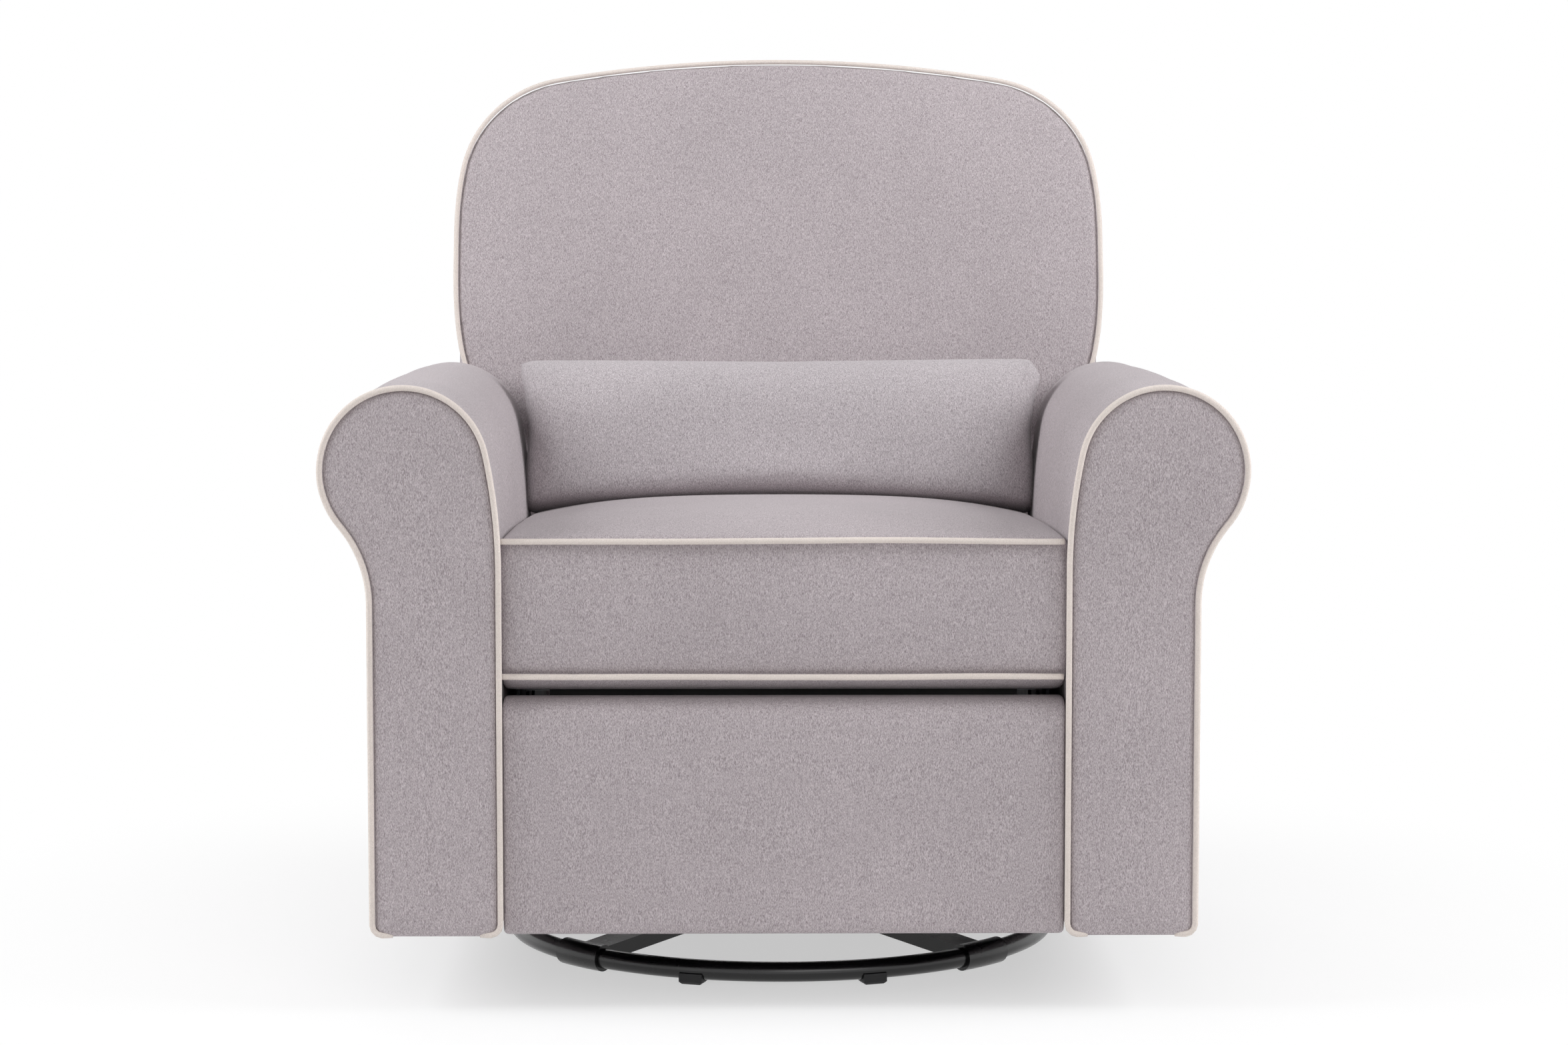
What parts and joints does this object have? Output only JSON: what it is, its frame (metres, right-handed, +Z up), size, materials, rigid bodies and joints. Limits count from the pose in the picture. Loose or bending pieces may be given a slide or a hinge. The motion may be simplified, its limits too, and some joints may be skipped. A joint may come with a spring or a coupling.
{
  "type": "swivel glider recliner chair",
  "caption": "Upholstered roll-arm nursery glider with contrast welt, crowned seat, lumbar pillow, reclining back and tong footrest on a black ring swivel base.",
  "frame": {"origin": "floor level under the middle of the chair's outer box", "axes": "+Z up, the chair faces -Y, +X to the viewer's right when facing the front"},
  "size_m": [0.8872, 0.8652, 0.9398],
  "materials": {
    "black_metal": "gloss black powder coat",
    "foot_plastic": "moulded black plastic",
    "bearing_steel": "zinc plated steel",
    "mechanism_steel": "satin black painted steel",
    "spring_steel": "oiled spring wire",
    "frame_wood": "raw plywood and hardwood",
    "grey_fabric": "mauve-grey heathered weave",
    "cream_welt": "cream welt cord"
  },
  "bodies": {
    "base": {"base_ring": "black_metal", "base_feet": "foot_plastic", "cross_frame": "black_metal", "hub_tabs": "black_metal", "lower_race": "bearing_steel", "bearing_balls": "bearing_steel", "king_pin": "bearing_steel"},
    "swivel": {"upper_race": "bearing_steel", "swivel_plate": "mechanism_steel", "glide_frames": "mechanism_steel", "upper_pins": "bearing_steel"},
    "front_link_pair": {"front_links": "mechanism_steel"},
    "rear_link_pair": {"rear_links": "mechanism_steel"},
    "chair": {"lower_pins": "bearing_steel", "hanger_plates": "mechanism_steel", "cross_rails": "mechanism_steel", "side_plates": "mechanism_steel", "arm_bolts": "bearing_steel", "rear_panel": "grey_fabric", "right_arm": "grey_fabric", "left_arm": "grey_fabric", "right_arm_frame": "frame_wood", "left_arm_frame": "frame_wood", "right_arm_welt": "cream_welt", "left_arm_welt": "cream_welt", "seat_frame": "frame_wood", "seat_rods": "mechanism_steel", "seat_springs": "spring_steel", "seat_cushion": "grey_fabric", "seat_welts": "cream_welt", "hinge_plates": "mechanism_steel"},
    "back": {"back_cushion": "grey_fabric", "back_shell": "grey_fabric", "back_frame": "frame_wood", "back_welt": "cream_welt", "hinge_arms": "mechanism_steel", "lumbar_pillow": "grey_fabric"},
    "tong_link_a": {"tong_a": "mechanism_steel", "tong_tube": "mechanism_steel"},
    "tong_link_b": {"tong_b": "mechanism_steel"},
    "tong_link_c": {"tong_c": "mechanism_steel"},
    "tong_link_d": {"tong_d": "mechanism_steel"},
    "tong_link_f": {"tong_f": "mechanism_steel"},
    "footrest": {"footrest_brackets": "mechanism_steel", "footrest_board": "frame_wood", "footrest_pad": "grey_fabric"}
  },
  "joints": [
    {"name": "swivel_turn", "type": "hinge", "parent": "base", "child": "swivel", "pos_m": [0, -0.03, 0], "axis": [0, 0, 1], "continuous": true},
    {"name": "front_swing", "type": "hinge", "parent": "swivel", "child": "front_link_pair", "pos_m": [0, -0.115, 0.235], "axis": [1, 0, 0], "range_deg": [-22, 22]},
    {"name": "glide", "type": "hinge", "parent": "front_link_pair", "child": "chair", "pos_m": [0, -0.115, 0.105], "axis": [1, 0, 0], "range_deg": [-22, 22]},
    {"name": "rear_swing", "type": "hinge", "parent": "swivel", "child": "rear_link_pair", "pos_m": [0, 0.055, 0.235], "axis": [1, 0, 0], "range_deg": [-22, 22]},
    {"name": "back_recline", "type": "hinge", "parent": "chair", "child": "back", "pos_m": [0, 0.13, 0.33], "axis": [-1, 0, 0], "range_deg": [0, 30]},
    {"name": "tong_a_turn", "type": "hinge", "parent": "chair", "child": "tong_link_a", "pos_m": [0, -0.307, 0.286], "axis": [-1, 0, 0], "range_deg": [0, 88]},
    {"name": "tong_b_turn", "type": "hinge", "parent": "tong_link_a", "child": "tong_link_b", "pos_m": [0, -0.31293, 0.20121], "axis": [-1, 0, 0], "range_deg": [-139, 0]},
    {"name": "tong_c_turn", "type": "hinge", "parent": "tong_link_a", "child": "tong_link_c", "pos_m": [0, -0.31886, 0.11641], "axis": [-1, 0, 0], "range_deg": [-139, 0]},
    {"name": "tong_d_turn", "type": "hinge", "parent": "tong_link_b", "child": "tong_link_d", "pos_m": [0, -0.33349, 0.28368], "axis": [-1, 0, 0], "range_deg": [0, 139]},
    {"name": "tong_f_turn", "type": "hinge", "parent": "tong_link_d", "child": "tong_link_f", "pos_m": [0, -0.34535, 0.1141], "axis": [-1, 0, 0], "range_deg": [-139, 0]},
    {"name": "footrest_open", "type": "hinge", "parent": "tong_link_c", "child": "footrest", "pos_m": [0, -0.35999, 0.28136], "axis": [-1, 0, 0], "range_deg": [0, 139]}
  ],
  "couplings": [
    {"joint": "front_swing", "follows": "glide", "ratio": -1},
    {"joint": "rear_swing", "follows": "glide", "ratio": -1},
    {"joint": "tong_a_turn", "follows": "footrest_open", "ratio": 0.63309},
    {"joint": "tong_b_turn", "follows": "footrest_open", "ratio": -1},
    {"joint": "tong_c_turn", "follows": "footrest_open", "ratio": -1},
    {"joint": "tong_d_turn", "follows": "footrest_open", "ratio": 1},
    {"joint": "tong_f_turn", "follows": "footrest_open", "ratio": -1}
  ]
}
